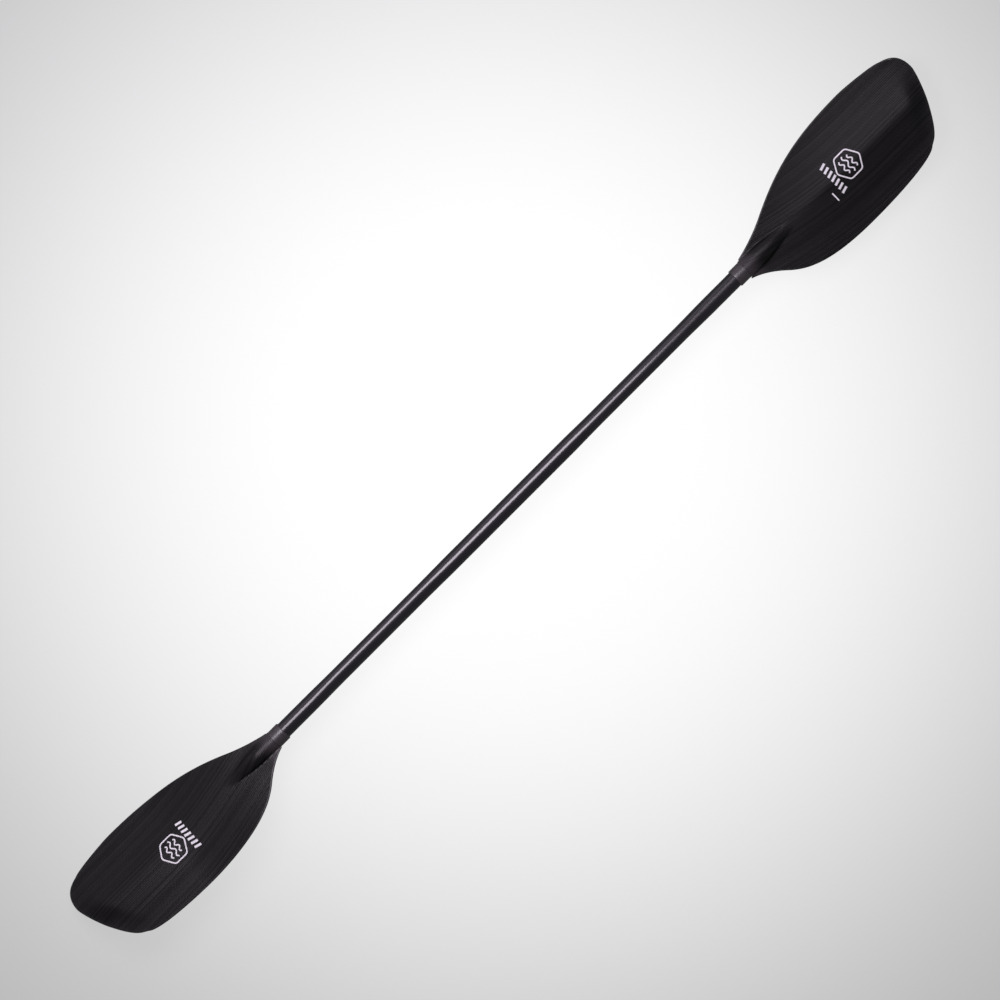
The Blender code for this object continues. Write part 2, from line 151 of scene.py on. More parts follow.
def add_piece(name, mesh=None):
    """An object at the origin, with its mesh or with an empty one to grow."""
    piece = bpy.data.objects.new(name, mesh or bpy.data.meshes.new(name))
    bpy.context.scene.collection.objects.link(piece)
    return piece


def shader_tree(name, **constants):
    """A material with a Principled shader and the constant values set on its own sockets."""
    made = bpy.data.materials.new(name)
    made.use_nodes = True
    shader = made.node_tree.nodes["Principled BSDF"]
    for label, value in constants.items():
        shader.inputs[label.replace("_", " ")].default_value = value
    return made, made.node_tree, shader


def join_finish(tree, shader, colour, roughness, height, depth):
    """Feed a shader its colour, roughness and a bump of a given depth in metres."""
    tree.links.new(colour, shader.inputs["Base Color"])
    tree.links.new(roughness, shader.inputs["Roughness"])
    bump = add_node(tree, "ShaderNodeBump",
                    {"Height": height, "Distance": depth, "Strength": 1.0})
    tree.links.new(bump.outputs[0], shader.inputs["Normal"])


def blend_colours(tree, share, first, second):
    """Colour between two, by a share."""
    mixer = add_node(tree, "ShaderNodeMix", {0: share}, data_type="RGBA")
    for place, colour in ((6, first), (7, second)):
        if isinstance(colour, bpy.types.NodeSocket):
            tree.links.new(colour, mixer.inputs[place])
        else:
            mixer.inputs[place].default_value = (*colour, 1)
    return mixer.outputs[2]


def wound_carbon():
    """Crossed filament windings under a clear coat, duller where hands hold the shaft."""
    made, tree, shader = shader_tree(
        "wound carbon", Coat_Weight=0.8, Coat_Roughness=0.13, IOR=1.5)
    place = add_node(tree, "ShaderNodeTexCoord").outputs["Object"]
    centred = add_node(tree, "ShaderNodeMapping", {"Vector": place, "Location": (0, 0, -axis)})
    parts = add_node(tree, "ShaderNodeSeparateXYZ", {0: centred.outputs[0]}).outputs
    turn = maths(tree, "ARCTAN2", parts["Z"], parts["Y"])
    twist = maths(tree, "MULTIPLY", parts["X"], WINDING_TURN)
    waves = []
    for crossing in ("ADD", "SUBTRACT"):
        phase = maths(tree, "MULTIPLY", maths(tree, crossing, turn, twist), WINDING_TOWS)
        waves.append(maths(tree, "SINE", phase))
    weave = maths(tree, "MAXIMUM", *waves)
    share = maths(tree, "MULTIPLY_ADD", weave, 0.25, 0.5)
    drift = noise(tree, place, 9.0, 3.0)
    fleck = noise(tree, place, 700.0)
    share = maths(tree, "MULTIPLY", share, maths(tree, "ADD", drift, 0.5))
    colour = blend_colours(tree, share, WINDING_DARK, WINDING_LIGHT)
    along = maths(tree, "ABSOLUTE", parts["X"])
    off_hand = maths(tree, "ABSOLUTE", maths(tree, "SUBTRACT", along, HAND_ZONE["centre"]))
    rubbed = smooth_step(tree, off_hand, *RUBBED_ZONE, RUBBED_ROUGHNESS, 0.0)
    rough = maths(tree, "MULTIPLY_ADD", fleck, 0.10, 0.26)
    rough = maths(tree, "ADD", rough, rubbed)
    join_finish(tree, shader, colour, rough, weave, WINDING_RELIEF)
    return made


def shaft_geometry(finish):
    """A line swept with a circle, whose rings are pressed to ovals and cut on the slant."""
    names = ["Half length", "Diameter", "Narrow", "Deep", "Zone centre", "Zone half length",
             "Zone fade", "Feather", "Slant start", "Axis height"]
    tree, size = geometry_tree("shaft", names)
    ends = []
    for sign in (-1.0, 1.0):
        reach = maths(tree, "MULTIPLY", size["Half length"], sign)
        ends.append(add_node(tree, "ShaderNodeCombineXYZ", {"X": reach}).outputs[0])
    line = add_node(tree, "GeometryNodeCurvePrimitiveLine", {"Start": ends[0], "End": ends[1]})
    fine = add_node(tree, "GeometryNodeResampleCurve",
                    {"Curve": line.outputs[0], "Count": SHAFT_STATIONS})
    circle = add_node(tree, "GeometryNodeCurvePrimitiveCircle",
                      {"Resolution": SHAFT_SIDES, "Radius": 1.0})
    tube = add_node(tree, "GeometryNodeCurveToMesh",
                    {"Curve": fine.outputs[0], "Profile Curve": circle.outputs[0]})
    place = add_node(tree, "GeometryNodeInputPosition").outputs[0]
    parts = add_node(tree, "ShaderNodeSeparateXYZ", {0: place}).outputs
    x, y, z = parts["X"], parts["Y"], parts["Z"]
    distance = maths(tree, "ABSOLUTE", x)
    off_zone = maths(tree, "ABSOLUTE", maths(tree, "SUBTRACT", distance, size["Zone centre"]))
    faded = maths(tree, "ADD", size["Zone half length"], size["Zone fade"])
    oval = smooth_step(tree, off_zone, size["Zone half length"], faded, 1.0, 0.0)
    half = {}
    for side in ("Narrow", "Deep"):
        change = maths(tree, "SUBTRACT", size[side], size["Diameter"])
        full = maths(tree, "MULTIPLY_ADD", change, oval, size["Diameter"])
        half[side] = maths(tree, "MULTIPLY", full, 0.5)
    on_left = maths(tree, "LESS_THAN", x, 0.0)
    roll = maths(tree, "MULTIPLY", maths(tree, "MULTIPLY", on_left, size["Feather"]), -1.0)
    cosine, sine = maths(tree, "COSINE", roll), maths(tree, "SINE", roll)
    across = maths(tree, "MULTIPLY_ADD", y, cosine, maths(tree, "MULTIPLY", z, sine))
    out = maths(tree, "SUBTRACT", maths(tree, "MULTIPLY", z, cosine),
                maths(tree, "MULTIPLY", y, sine))
    reach_across = maths(tree, "POWER", maths(tree, "MULTIPLY", half["Deep"], across), 2.0)
    reach_out = maths(tree, "POWER", maths(tree, "MULTIPLY", half["Narrow"], out), 2.0)
    divisor = maths(tree, "SQRT", maths(tree, "ADD", reach_across, reach_out))
    product = maths(tree, "MULTIPLY", half["Narrow"], half["Deep"])
    radius = maths(tree, "DIVIDE", product, divisor)
    past = maths(tree, "MAXIMUM", maths(tree, "SUBTRACT", distance, size["Slant start"]), 0.0)
    lean = maths(tree, "MULTIPLY_ADD", out, (SLANT_TOP - 1) / 2, (SLANT_TOP + 1) / 2)
    before = maths(tree, "MINIMUM", distance, size["Slant start"])
    slanted = maths(tree, "MULTIPLY_ADD", past, lean, before)
    moved = add_node(tree, "ShaderNodeCombineXYZ", {
        "X": maths(tree, "MULTIPLY", slanted, maths(tree, "SIGN", x)),
        "Y": maths(tree, "MULTIPLY", y, radius),
        "Z": maths(tree, "MULTIPLY_ADD", z, radius, size["Axis height"])})
    shaped = add_node(tree, "GeometryNodeSetPosition",
                      {"Geometry": tube.outputs[0], "Position": moved.outputs[0]})
    finish_tree(tree, shaped.outputs[0], finish)
    return tree


shaft = add_piece("shaft_wound_tube")
grow(shaft, shaft_geometry(wound_carbon()), {
    "Half length": neck + SLANT_START + SLANT_LENGTH, "Diameter": SHAFT_DIAMETER,
    "Narrow": HAND_ZONE["narrow"], "Deep": HAND_ZONE["deep"],
    "Zone centre": HAND_ZONE["centre"], "Zone half length": HAND_ZONE["half length"],
    "Zone fade": HAND_ZONE["fade"],
    "Feather": FEATHER, "Slant start": neck + SLANT_START, "Axis height": axis})
wall = shaft.modifiers.new("wall", "SOLIDIFY")
wall.thickness = SHAFT_WALL
wall.offset = -1
settle(shaft)
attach(shaft, "root")
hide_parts("shaft_tube")


# Collars ----------------------------------------------------------------------------------
# A short sleeve of epoxy filler over peel ply at each neck, sanded to a matt warm grey. It is
# bonded round the shaft and carries the blade's round shell on to the tube.

COLLAR_SIDES = 96
COLLAR_CHAMFER = 0.0010
COLLAR_GAP = 0.0003  # round the shaft
PLY_ROUND = 90  # radians of the ply's weave for each radian round the collar
PLY_ALONG = 5500  # and for each metre along it
PLY_RELIEF = 0.00002
FILLER_DARK = (0.026, 0.022, 0.026)
FILLER_LIGHT = (0.056, 0.048, 0.054)
sides = {"right": 1, "left": -1}


def peel_ply():
    """Sanded filler that shows the print of the peel ply's plain weave."""
    made, tree, shader = shader_tree(
        "matt collar filler", IOR=1.5, Coat_Weight=0.6, Coat_Roughness=0.24)
    place = add_node(tree, "ShaderNodeTexCoord").outputs["Object"]
    centred = add_node(tree, "ShaderNodeMapping", {"Vector": place, "Location": (0, 0, -axis)})
    parts = add_node(tree, "ShaderNodeSeparateXYZ", {0: centred.outputs[0]}).outputs
    turn = maths(tree, "ARCTAN2", parts["Z"], parts["Y"])
    round_it = maths(tree, "SINE", maths(tree, "MULTIPLY", turn, PLY_ROUND))
    along = maths(tree, "SINE", maths(tree, "MULTIPLY", parts["X"], PLY_ALONG))
    print_of_ply = maths(tree, "MULTIPLY", round_it, along)
    cloud = noise(tree, place, 160.0, 5.0)
    colour = blend_colours(tree, cloud, FILLER_DARK, FILLER_LIGHT)
    rough = maths(tree, "MULTIPLY_ADD", cloud, 0.15, 0.30)
    height = maths(tree, "MULTIPLY_ADD", cloud, 1.5, print_of_ply)
    join_finish(tree, shader, colour, rough, height, PLY_RELIEF)
    return made


def turned(name, profile, side):
    """A closed ring turned on the shaft's centre line, from (distance from neck, radius)."""
    angles = np.linspace(0, 2 * math.pi, COLLAR_SIDES, endpoint=False)
    rings = [(side * (neck + x), r * math.cos(a), axis + r * math.sin(a))
             for a in angles for x, r in profile]
    count = len(profile)
    faces = []
    for i in range(COLLAR_SIDES):
        following = (i + 1) % COLLAR_SIDES
        for j in range(count):
            k = (j + 1) % count
            face = (i * count + j, i * count + k,
                    following * count + k, following * count + j)
            faces.append(face if side > 0 else face[::-1])
    mesh = bpy.data.meshes.new(name)
    mesh.from_pydata(rings, [], faces)
    return add_piece(name, mesh)


collar_finish = peel_ply()
for name, side in sides.items():
    low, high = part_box(name + "_neck_collar")
    outer = (high.z - low.z) / 2
    inner = SHAFT_DIAMETER / 2 + COLLAR_GAP
    length = high.x - low.x
    profile = [(0.0, inner), (length, inner), (length, outer), (length / 2, outer)]
    for along, fall in ((2, 0), (1, 0.15), (0.4, 0.5), (0, 1)):
        profile.append((COLLAR_CHAMFER * along, outer - COLLAR_CHAMFER * fall))
    collar = turned(name + "_collar_sleeve", profile, side)
    settle(collar)
    collar.data.materials.append(collar_finish)
    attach(collar, "root")
    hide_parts(name + "_neck_collar")


# Inside the necks and blades --------------------------------------------------------------
# The pieces that the skins close over: foam plugs in the tube's ends, the film of epoxy in
# the sockets, the foam core halves, the laminate stringer and the solid block at each tip.


def cut_foam():
    """Closed-cell foam as the knife leaves it: open cells, pale and dusty."""
    made, tree, shader = shader_tree("cut core foam", IOR=1.4, Specular_IOR_Level=0.2)
    place = add_node(tree, "ShaderNodeTexCoord").outputs["Object"]
    cells = add_node(tree, "ShaderNodeTexVoronoi", {"Vector": place, "Scale": 1400.0})
    shade = maths(tree, "MULTIPLY", cells.outputs["Distance"], noise(tree, place, 60.0))
    colour = blend_colours(tree, shade, (0.60, 0.52, 0.36), (0.78, 0.72, 0.58))
    rough = maths(tree, "MULTIPLY_ADD", cells.outputs["Distance"], -0.2, 0.95)
    join_finish(tree, shader, colour, rough, cells.outputs["Distance"], 0.0002)
    return made


def cured_epoxy():
    """Amber adhesive with the odd bubble."""
    made, tree, shader = shader_tree("cured epoxy", IOR=1.55, Coat_Weight=0.3)
    place = add_node(tree, "ShaderNodeTexCoord").outputs["Object"]
    bubbles = add_node(tree, "ShaderNodeTexVoronoi", {"Vector": place, "Scale": 900.0})
    cloud = noise(tree, place, 200.0)
    colour = blend_colours(tree, cloud, (0.32, 0.22, 0.08), (0.48, 0.38, 0.20))
    rough = maths(tree, "MULTIPLY_ADD", cloud, 0.25, 0.2)
    join_finish(tree, shader, colour, rough, bubbles.outputs["Distance"], 0.00005)
    return made


def pressed_laminate():
    """Lengthwise carbon roving, pressed and cured, with dull resin between the strands."""
    made, tree, shader = shader_tree("pressed laminate", IOR=1.5)
    place = add_node(tree, "ShaderNodeTexCoord").outputs["Object"]
    drawn = add_node(tree, "ShaderNodeMapping", {"Vector": place, "Scale": (20, 900, 900)})
    strands = noise(tree, drawn.outputs[0], 1.0)
    colour = blend_colours(tree, strands, (0.012, 0.012, 0.013), (0.045, 0.043, 0.042))
    rough = maths(tree, "MULTIPLY_ADD", strands, 0.3, 0.35)
    join_finish(tree, shader, colour, rough, strands, 0.00005)
    return made


foam, epoxy, laminate = cut_foam(), cured_epoxy(), pressed_laminate()
hidden = {"shaft_bung": foam, "core_upper": foam, "core_lower": foam, "glue_sleeve": epoxy,
          "spine_spar": laminate, "tip_insert": laminate}
for name in sides:
    for part, finish in hidden.items():
        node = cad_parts[f"{name}_{part}"]
        node.data.materials.clear()
        node.data.materials.append(finish)


# Blade skins ------------------------------------------------------------------------------
# Two moulded skins of carbon cloth make each blade, one for the power face with its long
# ridge and one for the flat back, bonded to the core. Their half rounds close over the shaft
# and sink into the faces. The cloth lies lengthwise and fans a little at the neck.

OUTLINE = [  # x, y, heading in degrees, reach before and after, in millimetres from the neck
    (0, -15.9, 0, 10, 20),
    (73, -52.3, -43, 38, 34),
    (244, -96.4, 0, 108, 49),
    (389, -78.6, 39, 22, 13),
    (436, -20.0, 63, 61, 19),
    (456.6, 41.3, 90, 10, 37),
    (420, 85.6, 159, 12, 15),
    (337, 96.1, 180, 13, 107),
    (98, 44.4, 206, 78, 48),
    (0, 15.4, 180, 12, 10),
]
OUTLINE_STEPS = 60  # points drawn between two knots
LOWER_CORNER = math.radians(50)  # heading where the lower side turns into the tip
UPPER_CORNER = math.radians(135)
EDGE = 0.0036  # the blade's thickness at its edge
SKIN = 0.0010
CLOSED_HALF = SKIN + 0.00015  # half the thickness where the two skins meet at the neck
SKIN_START = 0.0223
SKIN_INSET = 0.0019  # how far inside the outline the skins stop against the edge bead
LEAST_FLANGE = 0.0008
NECK_RADIUS = 0.0163
EDGE_DROP = (0.013, 0.080, 0.270)  # fall behind the shaft, where it starts and ends
RIDGE = (0.0075, 0.050, 0.300)  # rise over the edges, where it starts and is full
RIDGE_ROUND = 0.007
RIDGE_CURVE = 1.7  # above 1 the slopes beside the ridge are hollow
TIP_THINNING = 0.040  # the ridge runs out over this length at the tip
RIB_TIP_HALF = 0.008  # half the width that the shaft's half round narrows to
FRONT_RIB = (0.056, 0.132)  # where the half round starts and ends on each face
BACK_RIB = (0.100, 0.270)
FILLET = 0.22  # share of the half round's height that its root fillet takes
FOOT_SLOPE = 5  # how steeply the half round's curve is carried on past its foot
SKIN_ROWS = 150
FLANGE_COLUMNS = 26
RIB_COLUMNS = 36
NECK_CROWDING = 1.35  # above 1 the rows lie closer together at the neck
CLOTH_LENGTH = 0.46
CLOTH_STEPS = 460
FAN_SLOPE = 0.23  # slope of the cloth's yarns at the neck
FAN_FADE = (0.09, 0.34)  # where the yarns turn lengthwise
YARN_WIDTH = 0.0031
KNOT_PITCH = 0.0062  # along a yarn, from one dip under the stitching to the next
CLOTH_DARK = (0.0004, 0.0003, 0.0006)
CLOTH_LIGHT = (0.0110, 0.0092, 0.0128)
CLOTH_RELIEF = 0.00012
RESIN_HAZE = (0.0100, 0.0095, 0.0085)
NECK_FILLER = (0.040, 0.035, 0.039)
FILLER_FADE = (0.030, 0.062)  # from the neck
WORN_RESIN = (0.030, 0.028, 0.030)
WEAR_FADE = (0.0025, 0.0070)  # from the outline


def ease(value, start, end):
    """0 before start, 1 after end, and a smooth step between."""
    share = np.clip((value - start) / (end - start), 0.0, 1.0)
    return share * share * (3 - 2 * share)


def mix(a, b, share):
    return a + (b - a) * share


def heading_vector(degrees):
    turn = math.radians(degrees)
    return np.array((math.cos(turn), math.sin(turn)))


def drawn_outline():
    """The outline's points from neck round the tip to neck, and the way into the blade."""
    points, inward = [], []
    for (*start, turn0, _, reach0), (*end, turn3, reach3, _) in zip(OUTLINE[:-1], OUTLINE[1:]):
        p0, p3 = np.array(start), np.array(end)
        p1 = p0 + reach0 * heading_vector(turn0)
        p2 = p3 - reach3 * heading_vector(turn3)
        t = np.arange(OUTLINE_STEPS)[:, None] / OUTLINE_STEPS
        s = 1 - t
        points.append(s**3 * p0 + 3 * s * s * t * p1 + 3 * s * t * t * p2 + t**3 * p3)
        run = s * s * (p1 - p0) + 2 * s * t * (p2 - p1) + t * t * (p3 - p2)
        run /= np.linalg.norm(run, axis=1)[:, None]
        inward.append(np.stack((-run[:, 1], run[:, 0]), 1))
    return np.concatenate(points) / 1000, np.concatenate(inward)


rim, rim_inward = drawn_outline()
tip_index = int(rim[:, 0].argmax())
corner_lower = int(np.argmax(-rim_inward[:tip_index, 0] > math.sin(LOWER_CORNER)))
corner_upper = tip_index + int(np.argmax(rim_inward[tip_index:, 1] < math.cos(UPPER_CORNER)))
rim_side = {-1: np.arange(0, corner_lower + 1),
            1: np.arange(len(rim) - 1, corner_upper - 1, -1)}
rim_corner = {-1: corner_lower, 1: corner_upper}
rim_tip = np.arange(corner_lower, corner_upper + 1)


def at_places(places, inset):
    """Outline points at fractional places, moved into the blade."""
    line = rim + rim_inward * inset
    numbers = np.arange(len(line))
    return np.stack([np.interp(places, numbers, line[:, k]) for k in (0, 1)], -1)


def place_at_x(side, x):
    """Place on one side of the outline at a distance from the neck."""
    run = rim_side[side]
    return np.interp(x, rim[run, 0], run)


def place_at_y(y):
    """Place on the tip at a distance from the axis."""
    return np.interp(y, rim[rim_tip, 1], rim_tip)


def middle_height(x):
    """Height of the blade's edge line."""
    return -EDGE_DROP[0] * ease(x, *EDGE_DROP[1:])


def half_edge(x):
    """Half the blade's thickness at its edge."""
    return mix(CLOSED_HALF, EDGE / 2, ease(x, SKIN_START, RIDGE[1]))


def rib_half_width(x, span):
    return mix(NECK_RADIUS, RIB_TIP_HALF, ease(x, *span))


def half_round(x, y, height, span):
    """The shell over the shaft, with a fillet where it meets the face."""
    share = np.abs(y) / rib_half_width(x, span)
    arch = np.sqrt(np.clip(1 - share**2, 0, None))
    arch -= FOOT_SLOPE * np.clip(share - 1, 0, None)
    rounded = (arch + np.sqrt(arch**2 + FILLET**2)) / 2
    return height * rounded / ((1 + math.sqrt(1 + FILLET**2)) / 2)


def power_face(x, y):
    """Height of the face with the ridge."""
    upper, lower = rim[rim_side[1]], rim[rim_side[-1]]
    reach = np.where(y > 0, np.interp(x, upper[:, 0], upper[:, 1]),
                     np.interp(x, lower[:, 0], -lower[:, 1]))
    off_centre = np.sqrt(y * y + RIDGE_ROUND**2) - RIDGE_ROUND
    across = np.clip(1 - off_centre / (reach - RIDGE_ROUND), 0, None)
    to_tip = at_places(place_at_y(y), 0.0)[..., 0] - x
    ridge = RIDGE[0] * ease(x, *RIDGE[1:]) * across**RIDGE_CURVE
    ridge *= ease(to_tip, -EDGE, TIP_THINNING)
    shell = (NECK_RADIUS - half_edge(x)) * (1 - ease(x, *FRONT_RIB))
    return middle_height(x) + half_edge(x) + ridge + half_round(x, y, shell, FRONT_RIB)


def back_face(x, y):
    """Height of the flat face behind it."""
    level = middle_height(x) - half_edge(x)
    crest = mix(-NECK_RADIUS, -EDGE_DROP[0] - EDGE / 2, ease(x, *BACK_RIB))
    return level - half_round(x, y, np.clip(level - crest, 0, None), BACK_RIB)


def flange_points(side, share, span, inset):
    """One row of plan points from the half round's foot out to the blade's inset edge."""
    v = (np.linspace(0, 1, FLANGE_COLUMNS + 1) ** 1.5)[:, None]
    tip_place = float(place_at_y(side * RIB_TIP_HALF))
    tip_inner = at_places(tip_place, inset)
    corner = rim_corner[side]
    inner_x = mix(SKIN_START, tip_inner[0], share)
    strip = float(rib_half_width(inner_x, span))
    inner = np.array((inner_x, side * strip))
    place = corner if share == 1 else place_at_x(side, mix(SKIN_START, rim[corner, 0], share))
    outer = at_places(place, inset)
    if side * outer[1] < float(rib_half_width(outer[0], span)) + LEAST_FLANGE:
        outer = np.array((inner_x, side * (strip + LEAST_FLANGE)))
    neck_inner = np.array((SKIN_START, side * NECK_RADIUS))
    neck_outer = np.array((SKIN_START, side * (NECK_RADIUS + LEAST_FLANGE)))
    tip = at_places(mix(tip_place, corner, v[:, 0]), inset)
    neck_row = mix(neck_inner, neck_outer, v)
    corners = mix(neck_row, mix(tip_inner, at_places(corner, inset), v), share)
    return mix(inner, outer, v) + mix(neck_row, tip, share) - corners


def strip_points(share, span, inset):
    """One row of plan points across the half round and the ridge beyond it."""
    turn = np.linspace(-math.pi / 2, math.pi / 2, RIB_COLUMNS + 1)
    tip_x = at_places(place_at_y(np.sin(turn) * RIB_TIP_HALF), inset)[:, 0]
    x = mix(SKIN_START, tip_x, share)
    return np.stack((x, np.sin(turn) * rib_half_width(x, span)), -1)


def blade_plan(span, inset):
    """Rows of plan points over the whole blade, closer together at the neck."""
    rows = []
    for share in np.linspace(0, 1, SKIN_ROWS) ** NECK_CROWDING:
        below = flange_points(-1, share, span, inset)[:0:-1]
        above = flange_points(1, share, span, inset)[1:]
        rows.append(np.concatenate((below, strip_points(share, span, inset), above)))
    return np.array(rows)


def cloth_map(x, y):
    """Distance along and across the yarns at a plan point."""
    stations = np.linspace(0, CLOTH_LENGTH, CLOTH_STEPS + 1)
    slope = FAN_SLOPE * (1 - ease(stations, *FAN_FADE))
    travel = np.cumsum((slope[1:] + slope[:-1]) / 2) * CLOTH_LENGTH / CLOTH_STEPS
    drift = np.concatenate(([0], travel))
    return np.stack((x, y + np.interp(x, stations, drift)), -1)


def skin_mesh(name, side, face, span, looks_up):
    """One skin's outer surface in its blade's own frame, with its cloth map and edge map."""
    plan = blade_plan(span, SKIN_INSET)
    x, y = plan[..., 0], plan[..., 1]
    rows, columns = x.shape
    points = np.stack((side * x, y, face(x, y)), -1).reshape(-1, 3)
    number = np.arange(rows * columns).reshape(rows, columns)
    quads = np.stack((number[:-1, :-1], number[1:, :-1], number[1:, 1:], number[:-1, 1:]), -1)
    quads = quads.reshape(-1, 4)
    if (side > 0) != looks_up:
        quads = quads[:, ::-1]
    mesh = bpy.data.meshes.new(name)
    mesh.from_pydata(points.tolist(), [], quads.tolist())
    flat = plan.reshape(-1, 2)
    nearest = np.sqrt(((flat[:, None] - rim[None, ::2]) ** 2).sum(-1)).min(1)
    corner_vertex = quads.reshape(-1)
    cloth = cloth_map(flat[:, 0], flat[:, 1])
    edge = np.stack((flat[:, 0], nearest), -1)
    for label, values in (("cloth", cloth), ("edge", edge)):
        layer = mesh.uv_layers.new(name=label)
        layer.data.foreach_set("uv", values[corner_vertex].astype(np.float32).reshape(-1))
    return mesh


def moulded_carbon():
    """Lengthwise carbon cloth in satin resin, greyed at the neck and worn at the rim."""
    made, tree, shader = shader_tree(
        "moulded carbon cloth", IOR=1.45, Coat_Weight=0.06, Coat_Roughness=0.32)
    cloth = add_node(tree, "ShaderNodeUVMap", uv_map="cloth").outputs[0]
    edge = add_node(tree, "ShaderNodeUVMap", uv_map="edge").outputs[0]
    parts = add_node(tree, "ShaderNodeSeparateXYZ", {0: cloth}).outputs
    inward = add_node(tree, "ShaderNodeSeparateXYZ", {0: edge}).outputs["Y"]

    yarn = maths(tree, "DIVIDE", parts["Y"], YARN_WIDTH)
    number = maths(tree, "FLOOR", yarn)
    tone = add_node(tree, "ShaderNodeTexWhiteNoise", {"W": number}, noise_dimensions="1D")
    groove = maths(tree, "SINE", maths(tree, "MULTIPLY", yarn, math.pi))
    groove = maths(tree, "POWER", maths(tree, "ABSOLUTE", groove), 0.8)
    stagger = maths(tree, "MULTIPLY", number, 2.1)
    step = maths(tree, "MULTIPLY_ADD", parts["X"], 2 * math.pi / KNOT_PITCH, stagger)
    swell = maths(tree, "MULTIPLY_ADD", maths(tree, "SINE", step), 0.5, 0.5)
    knot = maths(tree, "POWER", swell, 4.0)
    fine = add_node(tree, "ShaderNodeMapping", {"Vector": cloth, "Scale": (45, 2600, 1)})
    filament = noise(tree, fine.outputs[0], 1.0)
    broad = add_node(tree, "ShaderNodeMapping", {"Vector": cloth, "Scale": (7, 170, 1)})
    streak = noise(tree, broad.outputs[0], 1.0, 3.0)
    cloud = noise(tree, cloth, 22.0)
    mottle = noise(tree, cloth, 260.0, 4.0)

    light = maths(tree, "MULTIPLY", streak, 0.28)
    light = maths(tree, "MULTIPLY_ADD", tone.outputs[0], 0.30, light)
    light = maths(tree, "MULTIPLY_ADD", knot, -0.08, light)
    light = maths(tree, "MULTIPLY", light, groove)
    light = maths(tree, "MULTIPLY_ADD", filament, 0.25, light)
    colour = blend_colours(tree, light, CLOTH_DARK, CLOTH_LIGHT)
    haze = maths(tree, "MULTIPLY", cloud, 0.35)
    colour = blend_colours(tree, haze, colour, RESIN_HAZE)
    ragged = maths(tree, "MULTIPLY_ADD", mottle, 0.010, parts["X"])
    filler = smooth_step(tree, ragged, *FILLER_FADE, 1.0, 0.0)
    colour = blend_colours(tree, filler, colour, NECK_FILLER)
    ragged = maths(tree, "MULTIPLY_ADD", mottle, 0.004, inward)
    worn = smooth_step(tree, ragged, *WEAR_FADE, 0.35, 0.0)
    colour = blend_colours(tree, worn, colour, WORN_RESIN)

    rough = maths(tree, "MULTIPLY_ADD", streak, 0.08, 0.29)
    rough = maths(tree, "MULTIPLY_ADD", tone.outputs[0], 0.05, rough)
    rough = maths(tree, "MULTIPLY_ADD", filler, -0.08, rough)
    height = maths(tree, "MULTIPLY_ADD", filament, 0.12, groove)
    height = maths(tree, "MULTIPLY_ADD", knot, -0.10, height)
    lustre = maths(tree, "MULTIPLY_ADD", light, 0.60, 0.16)
    tree.links.new(lustre, shader.inputs["Specular IOR Level"])
    join_finish(tree, shader, colour, rough, height, CLOTH_RELIEF)
    return made


placing = {
    "right": Matrix.Translation((neck, 0, axis)),
    "left": Matrix.Translation((-neck, 0, axis)) @ Matrix.Rotation(-FEATHER, 4, "X"),
}
face_finish = moulded_carbon()
faces_made = {"power": (power_face, FRONT_RIB, True), "back": (back_face, BACK_RIB, False)}
for name, side in sides.items():
    for part, (face, span, looks_up) in faces_made.items():
        piece_name = f"{name}_{part}_face"
        skin = add_piece(piece_name, skin_mesh(piece_name, side, face, span, looks_up))
        skin.data.materials.append(face_finish)
        wall = skin.modifiers.new("wall", "SOLIDIFY")
        wall.thickness = SKIN
        wall.offset = -1
        settle(skin)
        skin.data.transform(placing[name])
        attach(skin, "root")
        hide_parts(f"{name}_{part}_skin")


# Edge beads -------------------------------------------------------------------------------
# A tough cord is laid round each blade between the skins and soaked in black resin, which
# makes a rounded bead. It takes the knocks, so it is the first place to show scratches.

BEAD_SIDES = 12
BEAD_DARK = (0.0060, 0.0055, 0.0065)
BEAD_LIGHT = (0.0140, 0.0130, 0.0150)
BEAD_SCUFFED = (0.035, 0.033, 0.035)
BEAD_RELIEF = 0.00005


def scuffed_resin():
    """Black resin over the cord's fine texture, paler where it has been knocked."""
    made, tree, shader = shader_tree("scuffed edge resin", IOR=1.5, Coat_Weight=0.1)
    place = add_node(tree, "ShaderNodeTexCoord").outputs["Object"]
    cord = noise(tree, place, 900.0)
    knocks = noise(tree, place, 130.0, 5.0)
    scuff = smooth_step(tree, knocks, 0.55, 0.75, 0.0, 1.0)
    colour = blend_colours(tree, cord, BEAD_DARK, BEAD_LIGHT)
    colour = blend_colours(tree, maths(tree, "MULTIPLY", scuff, 0.6), colour, BEAD_SCUFFED)
    rough = maths(tree, "MULTIPLY_ADD", scuff, 0.2, 0.38)
    height = maths(tree, "MULTIPLY_ADD", scuff, -0.6, cord)
    join_finish(tree, shader, colour, rough, height, BEAD_RELIEF)
    return made


